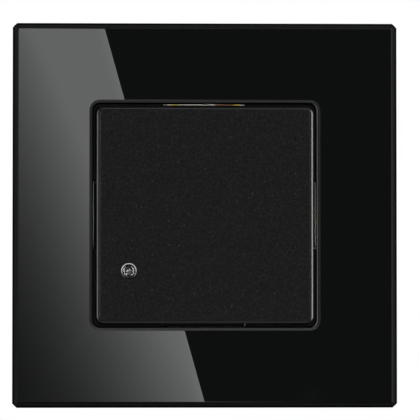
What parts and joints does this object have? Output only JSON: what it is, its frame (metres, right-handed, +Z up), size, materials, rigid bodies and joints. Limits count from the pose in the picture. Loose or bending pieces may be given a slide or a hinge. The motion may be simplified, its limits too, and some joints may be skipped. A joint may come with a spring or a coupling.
{
  "type": "motion sensor switch",
  "caption": "Flush wall switch with a square black glass frame, a flat sensor cover with a small clear sensor, a steel mounting plate and a rear module with screw terminals.",
  "frame": {"origin": "centre of the box screw pattern, on the wall surface, which is the mounting plate's back face", "axes": "+X right as seen from the room, +Z up, -Y out of the wall into the room"},
  "size_m": [0.08, 0.0353, 0.08],
  "materials": {
    "black_glass": "back-painted black, polished and bevelled edges",
    "black_cover": "fine matt texture",
    "black_plastic": "moulded",
    "foam_tape": "adhesive foam",
    "passivated_steel": "yellow-passivated zinc",
    "zinc_screw": "bright zinc",
    "clear_resin": "clear, polished dome",
    "grey_housing": "moulded, dark grey",
    "circuit_board": "green solder mask",
    "radar_laminate": "blue solder mask",
    "chip_black": "moulded epoxy",
    "adjuster_blue": "moulded",
    "dial_white": "moulded",
    "tinplate": "tin-plated",
    "nylon": "natural",
    "relay_case": "moulded",
    "ferrite": "ground ferrite",
    "winding_tape": "yellow polyester tape",
    "film_case": "moulded, yellow",
    "capacitor_sleeve": "shrunk sleeve",
    "varistor_blue": "dipped epoxy",
    "fuse_case": "moulded",
    "terminal_grey": "moulded, light grey",
    "brass": "nickel-free brass"
  },
  "bodies": {
    "root": {"mounting_plate": "passivated_steel", "module_front": "grey_housing", "module_rear": "grey_housing", "joining_screws": "zinc_screw", "control_board": "circuit_board", "control_chip": "chip_black", "range_adjuster": "adjuster_blue", "time_adjuster": "adjuster_blue", "daylight_adjuster": "adjuster_blue", "daylight_sensor": "clear_resin", "sensor_spacer": "nylon", "radar_board": "radar_laminate", "radar_can": "tinplate", "radar_header": "chip_black", "radar_pins": "tinplate", "stack_socket": "chip_black", "stack_pins": "tinplate", "board_spacers": "nylon", "power_board": "circuit_board", "relay": "relay_case", "transformer_core": "ferrite", "transformer_winding": "winding_tape", "film_capacitor": "film_case", "reservoir_capacitor": "capacitor_sleeve", "smoothing_capacitor": "capacitor_sleeve", "varistor": "varistor_blue", "fuse": "fuse_case", "rectifier": "chip_black", "terminal_block": "terminal_grey", "busbars": "brass"},
    "frame": {"glass_frame": "black_glass", "glass_tape": "foam_tape", "frame_carrier": "black_plastic"},
    "cover": {"sensor_cover": "black_cover"},
    "range_dial": {"range_dial": "dial_white"},
    "time_dial": {"time_dial": "dial_white"},
    "daylight_dial": {"daylight_dial": "dial_white"},
    "clamp_screw_1": {"clamp_screw_1": "zinc_screw"},
    "terminal_cage_1": {"terminal_cage_1": "tinplate"},
    "clamp_screw_2": {"clamp_screw_2": "zinc_screw"},
    "terminal_cage_2": {"terminal_cage_2": "tinplate"},
    "clamp_screw_3": {"clamp_screw_3": "zinc_screw"},
    "terminal_cage_3": {"terminal_cage_3": "tinplate"}
  },
  "joints": [
    {"name": "frame_pull_off", "type": "slide", "parent": "root", "child": "frame", "axis": [0, -1, 0], "range_m": [0, 0.03]},
    {"name": "cover_pull_off", "type": "slide", "parent": "root", "child": "cover", "axis": [0, -1, 0], "range_m": [0, 0.02]},
    {"name": "range_dial_turn", "type": "hinge", "parent": "root", "child": "range_dial", "pos_m": [-0.006, -0.0045, -0.0095], "axis": [0, 1, 0], "range_deg": [-135, 135]},
    {"name": "time_dial_turn", "type": "hinge", "parent": "root", "child": "time_dial", "pos_m": [0.003, -0.0045, -0.0095], "axis": [0, 1, 0], "range_deg": [-135, 135]},
    {"name": "daylight_dial_turn", "type": "hinge", "parent": "root", "child": "daylight_dial", "pos_m": [0.012, -0.0045, -0.0095], "axis": [0, 1, 0], "range_deg": [-135, 135]},
    {"name": "clamp_screw_1_turn", "type": "hinge", "parent": "root", "child": "clamp_screw_1", "pos_m": [-0.0084, 0.0165, -0.0184], "axis": [0, -1, 0], "range_deg": [0, 1622]},
    {"name": "cage_1_travel", "type": "slide", "parent": "root", "child": "terminal_cage_1", "axis": [0, 1, 0], "range_m": [0, 0.00225]},
    {"name": "clamp_screw_2_turn", "type": "hinge", "parent": "root", "child": "clamp_screw_2", "pos_m": [0, 0.0165, -0.0184], "axis": [0, -1, 0], "range_deg": [0, 1622]},
    {"name": "cage_2_travel", "type": "slide", "parent": "root", "child": "terminal_cage_2", "axis": [0, 1, 0], "range_m": [0, 0.00225]},
    {"name": "clamp_screw_3_turn", "type": "hinge", "parent": "root", "child": "clamp_screw_3", "pos_m": [0.0084, 0.0165, -0.0184], "axis": [0, -1, 0], "range_deg": [0, 1622]},
    {"name": "cage_3_travel", "type": "slide", "parent": "root", "child": "terminal_cage_3", "axis": [0, 1, 0], "range_m": [0, 0.00225]}
  ],
  "couplings": [
    {"joint": "clamp_screw_1_turn", "follows": "cage_1_travel", "rad_per_m": 12566},
    {"joint": "clamp_screw_2_turn", "follows": "cage_2_travel", "rad_per_m": 12566},
    {"joint": "clamp_screw_3_turn", "follows": "cage_3_travel", "rad_per_m": 12566}
  ]
}
